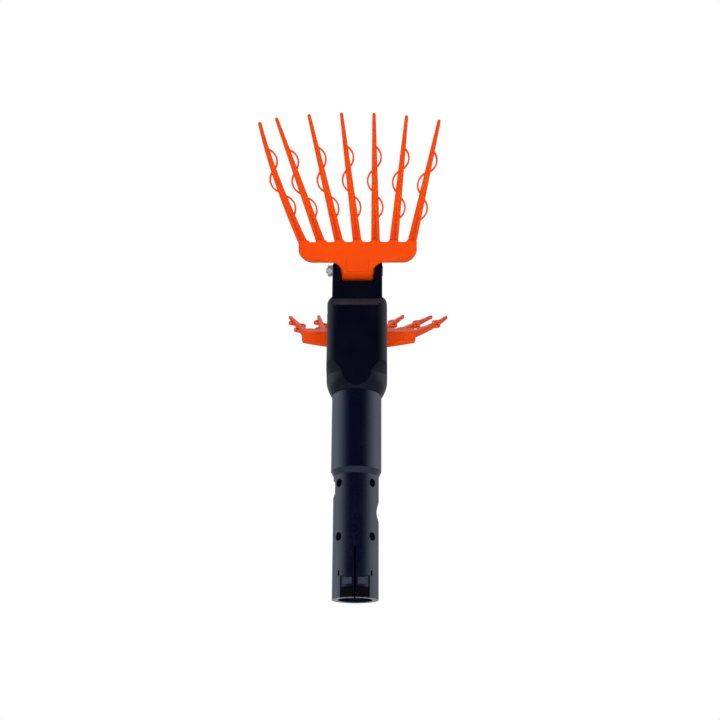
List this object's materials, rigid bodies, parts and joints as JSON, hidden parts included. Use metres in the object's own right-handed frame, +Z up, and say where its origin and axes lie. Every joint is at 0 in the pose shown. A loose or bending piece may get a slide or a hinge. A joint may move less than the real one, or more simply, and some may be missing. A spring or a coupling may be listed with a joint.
{
  "type": "electric olive harvester",
  "caption": "Electric olive harvester head: pole socket, motor tube and split gear case with two swinging finger combs driven by a crank and yoke.",
  "frame": {"origin": "centre of the pole socket mouth", "axes": "+Z up the pole axis towards the combs, -Y the side the upper comb leans to, X along the comb pivots"},
  "size_m": [0.2036, 0.2439, 0.483],
  "materials": {
    "body_plastic": "semi-gloss moulded black-blue plastic",
    "socket_plastic": "semi-gloss moulded black-blue plastic",
    "tube_metal": "satin black-blue coating on aluminium tube",
    "comb_plastic": "smooth orange nylon",
    "zinc_steel": "bright zinc-plated steel",
    "plain_steel": "plain machined steel",
    "bronze": "sintered bronze",
    "copper": "copper",
    "die_cast": "die-cast aluminium",
    "ferrite": "dark sintered ferrite and carbon",
    "lamination": "laminated electrical steel",
    "cap_plastic": "black moulded plastic"
  },
  "bodies": {
    "housing": {"pole_socket": "socket_plastic", "motor_tube": "tube_metal", "housing_left": "body_plastic", "housing_right": "body_plastic", "housing_screws": "zinc_steel", "motor_can": "zinc_steel", "motor_bushes": "bronze", "motor_end_cap": "cap_plastic", "motor_terminals": "copper", "motor_brushes": "ferrite", "motor_magnets": "ferrite", "gear_frame": "die_cast", "frame_screws": "zinc_steel", "crank_bush_inner": "bronze", "crank_bush_outer": "bronze", "yoke_guide_pins": "plain_steel", "upper_pivot_sleeve": "plain_steel", "upper_pivot_bolt": "zinc_steel", "upper_pivot_washer": "zinc_steel", "upper_pivot_nut": "zinc_steel", "lower_pivot_sleeve": "plain_steel", "lower_pivot_bolt": "zinc_steel", "lower_pivot_washer": "zinc_steel", "lower_pivot_nut": "zinc_steel"},
    "rotor": {"motor_shaft": "plain_steel", "armature_core": "lamination", "armature_winding": "copper", "commutator": "copper", "drive_pinion": "plain_steel"},
    "crank": {"crankshaft": "plain_steel", "crown_gear": "plain_steel"},
    "yoke": {"drive_yoke": "plain_steel"},
    "upper_comb": {"upper_comb": "comb_plastic", "upper_comb_bushes": "bronze", "upper_lever": "plain_steel", "upper_lever_pin": "plain_steel"},
    "lower_comb": {"lower_comb": "comb_plastic", "lower_comb_bushes": "bronze", "lower_lever": "plain_steel", "lower_lever_pin": "plain_steel"}
  },
  "joints": [
    {"name": "rotor_spin", "type": "hinge", "parent": "housing", "child": "rotor", "pos_m": [0, 0, 0.19], "axis": [0, 0, 1], "range_deg": [0, 720]},
    {"name": "crank_turn", "type": "hinge", "parent": "housing", "child": "crank", "pos_m": [0, 0, 0.226], "axis": [1, 0, 0], "range_deg": [0, 180]},
    {"name": "yoke_slide", "type": "slide", "parent": "housing", "child": "yoke", "axis": [0, 0, -1], "range_m": [0, 0.0092]},
    {"name": "upper_comb_swing", "type": "hinge", "parent": "housing", "child": "upper_comb", "pos_m": [0, -0.004, 0.333], "axis": [-1, 0, 0], "range_deg": [0, 24]},
    {"name": "lower_comb_swing", "type": "hinge", "parent": "housing", "child": "lower_comb", "pos_m": [0, 0.03928, 0.274], "axis": [1, 0, 0], "range_deg": [0, 24]}
  ],
  "couplings": [
    {"joint": "crank_turn", "follows": "rotor_spin", "ratio": 0.25},
    {"joint": "yoke_slide", "follows": "rotor_spin", "m_per_rad": 0.00073211},
    {"joint": "upper_comb_swing", "follows": "rotor_spin", "ratio": 0.033333},
    {"joint": "lower_comb_swing", "follows": "rotor_spin", "ratio": 0.033333}
  ]
}
